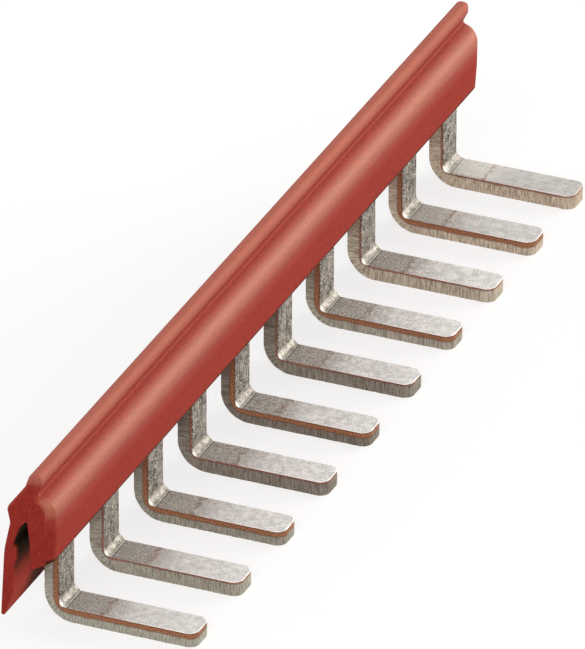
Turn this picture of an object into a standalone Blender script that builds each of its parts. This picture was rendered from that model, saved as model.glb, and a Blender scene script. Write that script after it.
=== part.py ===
"""Insulated insertion bridge for a row of terminal blocks.

A comb, stamped in one piece from tinned copper strip and folded once, stands in the slot of
a moulded red clip profile. Its prongs lie flat, one in each terminal block.

The model's own frame: X along the prongs towards their tips, Y along the row, Z up from the
prongs' underside. The origin is under the middle of the whole part.
"""
import math

import bmesh
import bpy

MM = 0.001

# Comb
PRONG_COUNT = 10
PITCH = 6.2 * MM
PRONG_WIDTH = 2.1 * MM
STRIP_THICKNESS = 0.9 * MM
PRONG_REACH = 8.2 * MM          # inner face of the uprights to the prong tips
COMB_HEIGHT = 6.75 * MM         # underside of the prongs to the comb's top edge
SPINE_WIDTH = 2.4 * MM          # the strip left above the prongs
BEND_INSIDE = 0.45 * MM
BEND_OUTSIDE = 1.75 * MM        # the strip is drawn thinner in the fold
TIP_CORNER = 0.6 * MM
ROOT_FILLET = 0.3 * MM
DIE_ROLL = 0.06 * MM            # edges rolled over by the punch, on the side it came from

# Clip profile, its heights measured from the comb's top edge
PROFILE_LENGTH = PRONG_COUNT * PITCH
SLOT_CLEARANCE = 0.05 * MM      # on each side of the strip
FRONT_WALL = 1.45 * MM          # thickness under the shoulder
WALL_KNEE_RISE = 0.8 * MM       # below here the wall's face runs in to the foot
WALL_KNEE_STEP = 0.015 * MM     # how far it has drawn in already
WALL_KNEE_ROUND = 8.0 * MM
FRONT_FOOT = 1.33 * MM          # thickness at the foot
SHOULDER_SLOPE = 18.0           # degrees, from the groove down to the shoulder's round
SHOULDER_ROUND = 1.1 * MM
FOOT_DROP = 0.75 * MM           # outer edge of the front wall's foot
FOOT_BEVEL = 0.7 * MM           # how much lower its inner edge is
FOOT_ROUND = 0.1 * MM
FOOT_TIP_ROUND = 0.15 * MM
SLOT_RISE = 1.6 * MM            # the slot narrows to this height
SLOT_ROOF_WIDTH = 0.4 * MM
SLOT_LEAN = 0.17 * MM           # how far the slot's front wall leans back at its top
SLOT_SHOULDER = 0.1 * MM        # where the back of the slot starts to close
SLOT_ROOF_ROUND = 0.04 * MM     # in the slot's highest corner
SLOT_STEP_ROUND = 0.1 * MM      # where its sloping roof meets its back
GROOVE_RISE = 3.25 * MM         # bottom of the groove beside the bead
GROOVE_SETBACK = 1.08 * MM      # from the front wall's face
GROOVE_ROUND = 0.15 * MM
BEAD_RISE = 4.56 * MM           # top of the bead that runs along the profile
BEAD_WIDTH = 0.71 * MM
BEAD_OVERHANG = 0.32 * MM       # how far the bead stands over the groove
BEAD_FACE = 0.6 * MM            # height of its front
BEAD_ROUND = 0.35 * MM
BEAD_BACK_HEIGHT = 0.91 * MM    # of the bead's back, above the sloping shoulder
BEAD_BACK_LEAN = 0.31 * MM
BEAD_BACK_ROUND = 0.3 * MM
BACK_ROUND = 0.5 * MM           # over and under the waist
BACK_SHOULDER_RISE = 2.24 * MM
BACK_SHOULDER_WALL = 0.39 * MM  # how far it stands behind the slot's back
BACK_WAIST_RISE = 1.3 * MM
BACK_WAIST_WALL = 0.2 * MM
BACK_KNEE_DROP = 0.45 * MM      # where the skirt's flare eases
BACK_KNEE_WALL = 0.57 * MM
BACK_KNEE_ROUND = 6.0 * MM
SKIRT_DROP = 4.6 * MM
SKIRT_FLARE = 0.79 * MM         # how far the skirt's foot stands behind the slot's back
SKIRT_EDGE = 0.24 * MM          # its thickness at the lower edge
SKIRT_BEVEL = 1.7 * MM          # height over which it thins to that edge
SKIRT_BEVEL_ROUND = 0.6 * MM
SKIRT_EDGE_ROUND = 0.1 * MM
RIB_HEIGHT = 0.2 * MM           # grip rib, which stands free where no strip is in the slot
RIB_DROP = 0.23 * MM
RIB_WIDTH = 0.62 * MM
RIB_RAMP = 0.13 * MM            # the slope on its upper side
RIB_LEAD = 0.5 * MM             # stretch over which the strip presses the rib flat
END_ROUND = 0.28 * MM           # at both ends of the profile, on the bead
END_ROUND_TOP = 0.4 * MM        # at both ends of the shoulder's top
END_ROUND_FRONT = 0.77 * MM     # at both ends of the front wall
END_ROUND_BACK = 0.15 * MM      # at both ends of the back
SLOT_EDGE_ROUND = 0.07 * MM

# Fineness of the round stretches
BEND_STEPS = 9
CORNER_STEPS = 5
SMALL_STEPS = 3
END_STEPS = 5

# Rules for the section's corners
NEARLY_STRAIGHT = 0.8           # cosine of the turn, above which both edges move as one
LEAST_ROUND = 0.2               # share of a corner's radius that an end always keeps
EDGE_SHARE = 0.48               # share of an edge that one corner's arc may take

COMB_TOP = COMB_HEIGHT
SLOT_FRONT = SLOT_CLEARANCE
SLOT_BACK = -STRIP_THICKNESS - SLOT_CLEARANCE
PART_BACK = SLOT_BACK - SKIRT_FLARE
DATUM_X = (PRONG_REACH + PART_BACK) / 2
ROW_END = PROFILE_LENGTH / 2


def clear_scene():
    for old in list(bpy.data.objects):
        bpy.data.objects.remove(old, do_unlink=True)


def principled(name, colour, roughness, metallic):
    material = bpy.data.materials.new(name)
    material.use_nodes = True
    shader = material.node_tree.nodes["Principled BSDF"]
    shader.inputs["Base Color"].default_value = (*colour, 1.0)
    shader.inputs["Roughness"].default_value = roughness
    shader.inputs["Metallic"].default_value = metallic
    return material


def add_object(name, shape, material, smooth_angle):
    bmesh.ops.recalc_face_normals(shape, faces=shape.faces)
    bmesh.ops.translate(shape, verts=shape.verts, vec=(-DATUM_X, 0.0, 0.0))
    mesh = bpy.data.meshes.new(name)
    shape.to_mesh(mesh)
    shape.free()
    mesh.materials.append(material)
    mesh.shade_smooth()
    mesh.set_sharp_from_angle(angle=math.radians(smooth_angle))
    piece = bpy.data.objects.new(name, mesh)
    bpy.context.scene.collection.objects.link(piece)
    return piece


def bridge_rings(shape, ring_a, ring_b):
    """Quads between two closed rings with as many points each."""
    count = len(ring_a)
    for i in range(count):
        j = (i + 1) % count
        shape.faces.new((ring_a[i], ring_a[j], ring_b[j], ring_b[i]))


# Comb: the outline of the stamped blank is placed once for each level of the strip's
# thickness, and the levels are joined along their edges.

def prong_centre(index):
    return ROW_END - PRONG_WIDTH / 2 - (PRONG_COUNT - 1 - index) * PITCH


def fold_point(depth, angle):
    """X and Z on the fold. Each level has its own radius, round a centre of its own."""
    share = depth / STRIP_THICKNESS
    radius = BEND_INSIDE + (BEND_OUTSIDE - BEND_INSIDE) * share
    centre_x = radius - depth
    centre_z = radius + STRIP_THICKNESS - depth
    return centre_x - radius * math.cos(angle), centre_z - radius * math.sin(angle)


def prong_stations(depth, inset):
    """X, Z and half width at each station of a prong, from the fold's start to the tip."""
    half = PRONG_WIDTH / 2 - inset
    stations = []
    for step in range(BEND_STEPS + 1):
        x, z = fold_point(depth, math.pi / 2 * step / BEND_STEPS)
        stations.append((x, z, half))
    corner = min(TIP_CORNER, PRONG_WIDTH / 2 - DIE_ROLL)
    radius = corner - inset
    for step in range(CORNER_STEPS + 1):
        angle = math.pi / 2 * step / CORNER_STEPS
        x = PRONG_REACH - corner + radius * math.sin(angle)
        half = PRONG_WIDTH / 2 - corner + radius * math.cos(angle)
        stations.append((x, STRIP_THICKNESS - depth, half))
    return stations


def root_arc(corner_y, side, inset):
    """The fillet between a prong and the spine, from the spine's edge to the prong's side."""
    radius = ROOT_FILLET + inset
    centre_y = corner_y + side * ROOT_FILLET
    centre_z = COMB_TOP - SPINE_WIDTH - ROOT_FILLET
    points = []
    for step in range(SMALL_STEPS + 1):
        angle = math.pi / 2 * step / SMALL_STEPS
        y = centre_y - side * radius * math.sin(angle)
        points.append((y, centre_z + radius * math.cos(angle)))
    return points


def comb_level(shape, depth, inset):
    """One level of the blank: its outline as a ring of vertices, the part of that ring that
    lies in the spine's plane, and the two sides of each prong."""
    first_y = prong_centre(0) - PRONG_WIDTH / 2
    ring = []
    flat = []
    prongs = []

    def add(x, y, z, is_flat=True):
        vertex = shape.verts.new((x, y, z))
        ring.append(vertex)
        if is_flat:
            flat.append(vertex)
        return vertex

    add(-depth, first_y + inset, COMB_TOP - inset)
    add(-depth, ROW_END - inset, COMB_TOP - inset)
    for index in reversed(range(PRONG_COUNT)):
        centre = prong_centre(index)
        stations = prong_stations(depth, inset)
        if index < PRONG_COUNT - 1:
            for y, z in root_arc(centre + PRONG_WIDTH / 2, 1, inset):
                add(-depth, y, z)
        far_side = []
        for step, (x, z, half) in enumerate(stations):
            far_side.append(add(x, centre + half, z, step == 0))
        near_side = []
        for step, (x, z, half) in reversed(list(enumerate(stations))):
            near_side.append(add(x, centre - half, z, step == 0))
        near_side.reverse()
        prongs.append((far_side, near_side))
        if index > 0:
            for y, z in reversed(root_arc(centre - PRONG_WIDTH / 2, -1, inset)):
                add(-depth, y, z)
    return ring, flat, prongs


def cover_level(shape, level):
    """The broad face of the strip: one face on the spine and a run of quads on each prong."""
    ring, flat, prongs = level
    shape.faces.new(flat)
    for far_side, near_side in prongs:
        for step in range(len(far_side) - 1):
            shape.faces.new((far_side[step], near_side[step], near_side[step + 1], far_side[step + 1]))


def build_comb(material):
    shape = bmesh.new()
    levels = []
    for step in range(SMALL_STEPS):
        angle = math.pi / 2 * step / (SMALL_STEPS - 1)
        levels.append(comb_level(shape, DIE_ROLL * (1 - math.cos(angle)), DIE_ROLL * (1 - math.sin(angle))))
    levels.append(comb_level(shape, STRIP_THICKNESS, 0.0))
    for level_a, level_b in zip(levels, levels[1:]):
        bridge_rings(shape, level_a[0], level_b[0])
    cover_level(shape, levels[0])
    cover_level(shape, levels[-1])
    return add_object("busbar_comb", shape, material, 32)


# Clip profile: a section of rounded corners, carried along Y, drawn in at both ends.

def shoulder_corners(front):
    """The wide round from the groove's slope to the front wall, as two corners that share its
    turn: each edge is cut back far enough for the two arcs to meet."""
    slope = math.radians(SHOULDER_SLOPE)
    turn = math.pi / 2 - slope
    meet_rise = GROOVE_RISE - GROOVE_SETBACK * math.tan(slope)
    pull = SHOULDER_ROUND * (math.tan(turn / 2) - math.tan(turn / 4))
    upper_x = front - pull * math.cos(slope)
    upper_rise = meet_rise + pull * math.sin(slope)
    between = (END_ROUND_TOP + END_ROUND_FRONT) / 2
    return [
        (upper_x, upper_rise, SHOULDER_ROUND, CORNER_STEPS, between),
        (front, meet_rise - pull, SHOULDER_ROUND, CORNER_STEPS, END_ROUND_FRONT),
    ]


def profile_corners(rib):
    """Corners of the section, clockwise seen from the near end, from the bead's back: X, Z, the
    corner's radius, the number of steps round it, and the rounding at the profile's ends of
    the edge that leaves it."""
    front = SLOT_FRONT + FRONT_WALL
    groove_x = front - GROOVE_SETBACK
    bead_front = groove_x + BEAD_OVERHANG
    bead_back = bead_front - BEAD_WIDTH
    roof_front = SLOT_FRONT - SLOT_LEAN
    roof_back = roof_front - SLOT_ROOF_WIDTH
    rib_face = SLOT_BACK + RIB_HEIGHT * rib
    outer, back, inner = END_ROUND, END_ROUND_BACK, SLOT_EDGE_ROUND
    corners = [
        (bead_back, BEAD_RISE, BEAD_ROUND, CORNER_STEPS, outer),
        (bead_front, BEAD_RISE, BEAD_ROUND, CORNER_STEPS, outer),
        (bead_front, BEAD_RISE - BEAD_FACE, BEAD_ROUND, SMALL_STEPS, outer),
        (groove_x, GROOVE_RISE, GROOVE_ROUND, SMALL_STEPS, END_ROUND_TOP),
        *shoulder_corners(front),
        (front - WALL_KNEE_STEP, WALL_KNEE_RISE, WALL_KNEE_ROUND, SMALL_STEPS, END_ROUND_FRONT),
        (SLOT_FRONT + FRONT_FOOT, -FOOT_DROP, FOOT_ROUND, SMALL_STEPS, inner),
        (SLOT_FRONT, -FOOT_DROP - FOOT_BEVEL, FOOT_TIP_ROUND, SMALL_STEPS, inner),
        (SLOT_FRONT, SLOT_SHOULDER, 0.0, 0, inner),
        (roof_front, SLOT_RISE, SLOT_ROOF_ROUND, SMALL_STEPS, inner),
        (roof_back, SLOT_RISE - SLOT_ROOF_WIDTH, SLOT_STEP_ROUND, SMALL_STEPS, inner),
        (SLOT_BACK, SLOT_SHOULDER, 0.0, 0, inner),
        (SLOT_BACK, RIB_RAMP - RIB_DROP, 0.0, 0, inner),
        (rib_face, -RIB_DROP, 0.0, 0, inner),
        (rib_face, -RIB_DROP - RIB_WIDTH, 0.0, 0, inner),
        (SLOT_BACK, -RIB_DROP - 2 * RIB_WIDTH, 0.0, 0, inner),
        (SLOT_BACK, SKIRT_BEVEL - SKIRT_DROP, SKIRT_BEVEL_ROUND, SMALL_STEPS, inner),
        (PART_BACK + SKIRT_EDGE, -SKIRT_DROP, SKIRT_EDGE_ROUND, SMALL_STEPS, inner),
        (PART_BACK, -SKIRT_DROP, SKIRT_EDGE_ROUND, SMALL_STEPS, back),
        (SLOT_BACK - BACK_KNEE_WALL, -BACK_KNEE_DROP, BACK_KNEE_ROUND, CORNER_STEPS, back),
        (SLOT_BACK - BACK_WAIST_WALL, BACK_WAIST_RISE, BACK_ROUND, CORNER_STEPS, back),
        (SLOT_BACK - BACK_SHOULDER_WALL, BACK_SHOULDER_RISE, BACK_ROUND, CORNER_STEPS, back),
        (bead_back - BEAD_BACK_LEAN, BEAD_RISE - BEAD_BACK_HEIGHT, BEAD_BACK_ROUND, SMALL_STEPS, outer),
    ]
    return [(x, COMB_TOP + rise, radius, steps, ends) for x, rise, radius, steps, ends in corners]


def unit(dx, dz):
    length = math.hypot(dx, dz)
    return dx / length, dz / length


def draw_in(corners, share):
    """The corners with each edge moved into the material by its end rounding times share."""
    count = len(corners)
    moved = []
    for i, (x, z, radius, steps, ends) in enumerate(corners):
        before = corners[i - 1]
        after = corners[(i + 1) % count]
        ax, az = unit(x - before[0], z - before[1])
        bx, bz = unit(after[0] - x, after[1] - z)
        step_a, step_b = before[4] * share, ends * share
        cross = ax * bz - az * bx
        along = ax * bx + az * bz
        if along > NEARLY_STRAIGHT:
            mean = (step_a + step_b) / 2 / (1 + along)
            shift_x, shift_z = (az + bz) * mean, -(ax + bx) * mean
        else:
            shift_x = (ax * step_b - bx * step_a) / cross
            shift_z = (az * step_b - bz * step_a) / cross
        turn = radius - math.copysign(min(step_a, step_b), -cross)
        wide = radius > max(before[4], ends) / 2
        ends_start = before[4] if wide else max(before[4], ends)
        ends_stop = ends if wide else max(before[4], ends)
        turn = max(turn, radius * LEAST_ROUND)
        moved.append((x + shift_x, z + shift_z, turn, steps, ends_start, ends_stop))
    return moved


def round_corners(corners):
    """Points round the section, and the end rounding at each. A corner becomes an arc, as
    wide as asked or as its edges have room for."""
    count = len(corners)
    points = []
    for i, (x, z, radius, steps, ends_start, ends_stop) in enumerate(corners):
        if steps == 0:
            points.append((x, z, ends_start))
            continue
        px, pz = corners[i - 1][:2]
        nx, nz = corners[(i + 1) % count][:2]
        ax, az = unit(x - px, z - pz)
        bx, bz = unit(nx - x, nz - z)
        turn = math.atan2(ax * bz - az * bx, ax * bx + az * bz)
        room = EDGE_SHARE * min(math.hypot(x - px, z - pz), math.hypot(nx - x, nz - z))
        reach = min(radius * math.tan(abs(turn) / 2), room)
        radius = reach / math.tan(abs(turn) / 2)
        side = math.copysign(1.0, turn)
        centre_x = x - ax * reach - az * radius * side
        centre_z = z - az * reach + ax * radius * side
        start = math.atan2(z - az * reach - centre_z, x - ax * reach - centre_x)
        for step in range(steps + 1):
            angle = start + turn * step / steps
            ends = ends_start + (ends_stop - ends_start) * step / steps
            points.append((centre_x + radius * math.cos(angle), centre_z + radius * math.sin(angle), ends))
    return points


def end_rings(shape, end, inward, rib):
    """Rings from an end face to the full section. Each point follows a quarter circle whose
    radius is its own end rounding."""
    corners = profile_corners(rib)
    rings = []
    for step in range(END_STEPS + 1):
        angle = math.pi / 2 * step / END_STEPS
        section = round_corners(draw_in(corners, 1 - math.sin(angle)))
        ring = []
        for x, z, ends in section:
            y = end + inward * ends * (1 - math.cos(angle))
            ring.append(shape.verts.new((x, y, z)))
        rings.append(ring)
    return rings


def plain_ring(shape, y, rib):
    section = round_corners(draw_in(profile_corners(rib), 0.0))
    return [shape.verts.new((x, y, z)) for x, z, ends in section]


def build_profile(material):
    shape = bmesh.new()
    comb_start = prong_centre(0) - PRONG_WIDTH / 2
    rib_end = comb_start - SLOT_CLEARANCE
    rings = end_rings(shape, -ROW_END, 1, 1.0)
    rings.append(plain_ring(shape, rib_end - RIB_LEAD, 1.0))
    rings.append(plain_ring(shape, rib_end, 0.0))
    rings.extend(reversed(end_rings(shape, ROW_END, -1, 0.0)))
    for ring_a, ring_b in zip(rings, rings[1:]):
        bridge_rings(shape, ring_a, ring_b)
    shape.faces.new(rings[0])
    shape.faces.new(rings[-1])
    return add_object("insulating_profile", shape, material, 32)


def main():
    clear_scene()
    tinned_copper = principled("tinned_copper", (0.62, 0.60, 0.56), 0.35, 1.0)
    red_plastic = principled("red_moulded_plastic", (0.42, 0.030, 0.022), 0.45, 0.0)
    build_comb(tinned_copper)
    build_profile(red_plastic)


main()
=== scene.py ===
"""An insertion bridge for a row of terminal blocks, dressed for its picture.

Two pieces: the comb, stamped from tin-plated copper strip and folded once, and the red clip
profile that it stands in. Sizes are in millimetres until they reach a mesh.
X runs along the prongs to their tips, Y along the row, Z up from the prongs' underside.
"""
import math

import bmesh
import bpy
import numpy as np
from mathutils import Matrix, Vector


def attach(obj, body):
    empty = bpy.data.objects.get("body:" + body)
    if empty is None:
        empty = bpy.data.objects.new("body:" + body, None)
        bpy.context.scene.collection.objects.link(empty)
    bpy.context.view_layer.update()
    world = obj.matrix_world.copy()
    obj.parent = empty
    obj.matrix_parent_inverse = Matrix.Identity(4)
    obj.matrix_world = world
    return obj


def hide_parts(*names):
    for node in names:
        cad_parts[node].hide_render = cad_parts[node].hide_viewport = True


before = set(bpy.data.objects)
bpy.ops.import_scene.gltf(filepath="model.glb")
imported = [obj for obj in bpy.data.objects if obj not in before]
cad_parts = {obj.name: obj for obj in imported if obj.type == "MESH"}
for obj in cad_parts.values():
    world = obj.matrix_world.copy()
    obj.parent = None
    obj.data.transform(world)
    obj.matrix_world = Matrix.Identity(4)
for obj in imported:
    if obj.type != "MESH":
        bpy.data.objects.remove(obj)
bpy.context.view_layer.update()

MM = 0.001

# Comb
PRONG_COUNT = 10
PITCH = 6.2
PRONG_WIDTH = 2.1
STRIP_THICKNESS = 0.9
PRONG_REACH = 8.2           # inner face of the uprights to the prong tips
COMB_HEIGHT = 6.75
SPINE_WIDTH = 2.4
BEND_INSIDE = 0.45
BEND_OUTSIDE = 1.75
TIP_CORNER = 0.6
ROOT_FILLET = 0.3
DIE_ROLL = 0.06             # radius of the edges that the punch rolled over
BEND_BULGE = 0.13           # the fold squeezes the strip out sideways at its inner face
BULGE_FADE = 3              # power with which the bulge fades toward the outer face
BURR = 0.03                 # depth of the ragged edge where the strip tore off the die
BURR_GROWTH = 12            # power with which it grows toward the outer face
TEAR_SEED = 11
TEAR_SPACING = 0.22         # along the strip, between the coarsest random heights
TEAR_OCTAVES = 3
TEAR_SHIFT = 37.0           # how far apart in the random heights two neighbouring prongs lie
FOLD_LENGTH = 1.2           # of strip in the fold, as the finish counts it
CREASES = (0.35, 1.05)      # places of the two creases along the inside of the fold
CREASE_WIDTH = 0.07
MARK_ALONG = 3.3            # place of the forming tool's mark across the leg

# Clip profile, heights from the comb's top edge
SLOT_CLEARANCE = 0.05
FRONT_WALL = 1.45
FRONT_FOOT = 1.33
WALL_KNEE_RISE = 0.8        # below here the wall's face runs in to the foot
WALL_KNEE_STEP = 0.015
WALL_KNEE_ROUND = 8.0
SHOULDER_SLOPE = 18.0       # degrees, from the groove down to the shoulder's round
SHOULDER_ROUND = 1.1
SHOULDER_MIDDLE = 2.1       # height of the middle of the shoulder's round
FOOT_DROP = 0.75
FOOT_BEVEL = 0.7
FOOT_ROUND = 0.1
FOOT_TIP_ROUND = 0.15
SLOT_RISE = 1.6
SLOT_ROOF_WIDTH = 0.4
SLOT_LEAN = 0.17
SLOT_SHOULDER = 0.1
SLOT_ROOF_ROUND = 0.04
SLOT_STEP_ROUND = 0.1
GROOVE_RISE = 3.25
GROOVE_SETBACK = 1.08
GROOVE_ROUND = 0.15
BEAD_RISE = 4.56
BEAD_WIDTH = 0.71
BEAD_OVERHANG = 0.32
BEAD_FACE = 0.6
BEAD_ROUND = 0.35
BEAD_BACK_HEIGHT = 0.91
BEAD_BACK_LEAN = 0.31
BEAD_BACK_ROUND = 0.3
BACK_ROUND = 0.5
BACK_SHOULDER_RISE = 2.24
BACK_SHOULDER_WALL = 0.39
BACK_WAIST_RISE = 1.3
BACK_WAIST_WALL = 0.2
BACK_KNEE_DROP = 0.45
BACK_KNEE_WALL = 0.57
BACK_KNEE_ROUND = 6.0
SKIRT_DROP = 4.6
SKIRT_FLARE = 0.79
SKIRT_EDGE = 0.24
SKIRT_BEVEL = 1.7
SKIRT_BEVEL_ROUND = 0.6
SKIRT_EDGE_ROUND = 0.1
RIB_HEIGHT = 0.2
RIB_DROP = 0.23
RIB_WIDTH = 0.62
RIB_RAMP = 0.13
RIB_LEAD = 0.5
END_ROUND = 0.28            # at both ends, on the bead
END_ROUND_TOP = 0.4         # on the shoulder's top
END_ROUND_FRONT = 0.77      # on the front wall
END_ROUND_BACK = 0.15
SLOT_EDGE_ROUND = 0.07
SHARP = 0.01
NEAR_END_SHARE = 0.75       # the near end's rounding as a share of the far end's
CAP_INSET = 1.03            # share of the rounding at the cap's rim, just inside the last ring
END_HIGHLIGHT_TURN = 40.0        # degrees, from level to the painted highlight at the near end, about the shoulder's round

# The photograph: the lens, and the camera's place and axes in the model's frame
LENS = 764.1
CAMERA_PLACE = (0.26577, -0.63233, 0.38016)
CAMERA_RIGHT = (0.920975, 0.389612, 0.002769)
CAMERA_DOWN = (0.188867, -0.440209, -0.877807)
CAMERA_FORWARD = (-0.340785, 0.808961, -0.479006)

# Light and ground
ROOM_LIGHT = 0.48           # of the white room, where it falls on things
FLOOR_GLOW = 0.68           # of the board, where it is seen
FLOOR_HALF = 1.5            # metres from the middle of the board to its sides
BOARD = "A9A9A9"
WHITE = "FFFFFF"

SLOT_FRONT = SLOT_CLEARANCE
SLOT_BACK = -STRIP_THICKNESS - SLOT_CLEARANCE
PART_BACK = SLOT_BACK - SKIRT_FLARE
DATUM_X = (PRONG_REACH + PART_BACK) / 2
ROW_END = PRONG_COUNT * PITCH / 2
PRONG_CENTRES = ROW_END - PRONG_WIDTH / 2 - PITCH * np.arange(PRONG_COUNT - 1, -1, -1)
COMB_START = PRONG_CENTRES[0] - PRONG_WIDTH / 2


# Meshes

SEAM = 0.001                # points closer together than this are one
SMOOTH_ANGLE = 40.0         # degrees between faces, above which their edge stays sharp
WANDER_DRAWS = 4096         # random heights in a line, after which they repeat
WANDER_START = 1000.0       # where among them zero lies


def joined_grid(shape, first, close):
    """Faces of a grid of points, rows by columns, numbered from first. Each face takes a point,
    the next in its row, and the two beside them in the next row."""
    rows, columns = shape
    index = first + np.arange(rows * columns).reshape(rows, columns)
    beside = np.roll(index, -1, axis=1) if close else index[:, 1:]
    index = index if close else index[:, :-1]
    quads = (index[:-1], beside[:-1], beside[1:], index[1:])
    return np.stack(quads, axis=-1).reshape(-1, 4)


def mesh_piece(name, places, faces, caps, values, material):
    """A mesh object from points in millimetres, its quads, its caps as lists of points, and
    the named values that each point carries."""
    mesh = bpy.data.meshes.new(name)
    mesh.from_pydata((places - (DATUM_X, 0.0, 0.0)) * MM, [], faces.tolist() + caps)
    for key, value in values.items():
        kind = "FLOAT_VECTOR" if value.ndim == 2 else "FLOAT"
        field = "vector" if value.ndim == 2 else "value"
        mesh.attributes.new(key, kind, "POINT").data.foreach_set(field, value.ravel())
    piece = bpy.data.objects.new(name, mesh)
    bpy.context.scene.collection.objects.link(piece)
    merge_and_turn(mesh)
    mesh.materials.append(material)
    mesh.shade_smooth()
    mesh.set_sharp_from_angle(angle=math.radians(SMOOTH_ANGLE))
    return piece


def merge_and_turn(mesh):
    """Seams between grids closed, and every face turned outward."""
    shape = bmesh.new()
    shape.from_mesh(mesh)
    bmesh.ops.remove_doubles(shape, verts=shape.verts, dist=SEAM * MM)
    bmesh.ops.recalc_face_normals(shape, faces=shape.faces)
    shape.to_mesh(mesh)
    shape.free()


def wander(places, seed, spacing, octaves):
    """A smooth random height, about 1 high, at each place along a line: random values a fixed
    spacing apart joined by cosine steps, with finer and weaker ones on top."""
    total = np.zeros(places.shape)
    for octave in range(octaves):
        draw = np.random.default_rng(seed + octave).uniform(-1.0, 1.0, WANDER_DRAWS)
        at = places / spacing * 2 ** octave + WANDER_START
        low = np.floor(at).astype(int)
        share = 0.5 - 0.5 * np.cos(np.pi * (at - low))
        before, after = draw[low % WANDER_DRAWS], draw[(low + 1) % WANDER_DRAWS]
        total += (before * (1 - share) + after * share) / 2 ** octave
    return total


# Comb: the blank is a spine with ten prongs, worked out as grids for each level of the strip's
# thickness. The first and last levels are its broad faces, and the outlines of all the levels
# are joined to make the cut edges.

UPRIGHT_STEPS = 20
FOLD_STEPS = 16
LEG_STEPS = 56
TIP_STEPS = 8
ACROSS_STEPS = 12
FILLET_STEPS = 5
BAY_STEPS = 4
SPINE_STEPS = 4
ROLL_LEVELS = 5
CUT_LEVELS = (0.2, 0.4, 0.6, 0.75, 0.84, 0.87)      # depths, closer where the edge is torn


def prong_line(depth, inset):
    """X, Z, half width and distance along the strip at each station of a prong, and how far the
    fold spreads it there: the sine of twice the angle, which is 1 in the fold's middle and 0
    outside it. Upright and leg are straight. In the fold each level has its own radius, from the
    inner to the outer one, and the tip's corners are quarter circles in plan."""
    share = depth / STRIP_THICKNESS
    radius = BEND_INSIDE + (BEND_OUTSIDE - BEND_INSIDE) * share
    centre_x = radius - depth
    centre_z = radius + STRIP_THICKNESS - depth
    root_z = COMB_HEIGHT - SPINE_WIDTH - ROOT_FILLET
    drop = np.linspace(0.0, 1.0, UPRIGHT_STEPS, endpoint=False)
    angle = np.linspace(0.0, math.pi / 2, FOLD_STEPS, endpoint=False)
    run = np.linspace(0.0, 1.0, LEG_STEPS, endpoint=False)
    corner = np.linspace(0.0, math.pi / 2, TIP_STEPS + 1)
    corner_x = PRONG_REACH - TIP_CORNER
    x = np.concatenate((
        np.full(UPRIGHT_STEPS, -depth),
        centre_x - radius * np.cos(angle),
        centre_x + (corner_x - centre_x) * run,
        corner_x + (TIP_CORNER - inset) * np.sin(corner),
    ))
    z = np.concatenate((
        root_z + (centre_z - root_z) * drop,
        centre_z - radius * np.sin(angle),
        np.full(LEG_STEPS + TIP_STEPS + 1, STRIP_THICKNESS - depth),
    ))
    half = np.full(len(x), PRONG_WIDTH / 2 - inset)
    half[-TIP_STEPS - 1:] = PRONG_WIDTH / 2 - TIP_CORNER + (TIP_CORNER - inset) * np.cos(corner)
    along = np.concatenate((
        (root_z - BEND_OUTSIDE) * (drop - 1.0),
        FOLD_LENGTH * angle / (math.pi / 2),
        FOLD_LENGTH + x[UPRIGHT_STEPS + FOLD_STEPS:] - BEND_INSIDE,
    ))
    turned = np.zeros(len(x))
    turned[UPRIGHT_STEPS:UPRIGHT_STEPS + FOLD_STEPS] = np.sin(2 * angle)
    return x, z, half, along, turned


def prong_grid(depth, inset):
    """Points of all prongs at one level: prong, station, place across. The width is that of
    the blank, plus a bulge in the fold that is widest at the inner face, less a random tear
    that is deepest at the outer one. The last prong is cut flush with the row's end."""
    x, z, half, along, turned = prong_line(depth, inset)
    across = np.linspace(-1.0, 1.0, ACROSS_STEPS + 1)
    share = depth / STRIP_THICKNESS
    bulge = BEND_BULGE * turned ** 2 * (1 - share) ** BULGE_FADE
    ragged = BURR * share ** BURR_GROWTH
    apart = TEAR_SHIFT * np.arange(PRONG_COUNT)[:, None]
    tear = np.abs(wander(along[None, :] + apart, TEAR_SEED, TEAR_SPACING, TEAR_OCTAVES))
    width = half + bulge - ragged * tear
    y = PRONG_CENTRES[:, None, None] + width[:, :, None] * across
    y = np.minimum(y, ROW_END)
    full = y.shape
    spread = np.broadcast_to
    return np.stack((spread(x[:, None], full), y, spread(z[:, None], full)), axis=-1)


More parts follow.
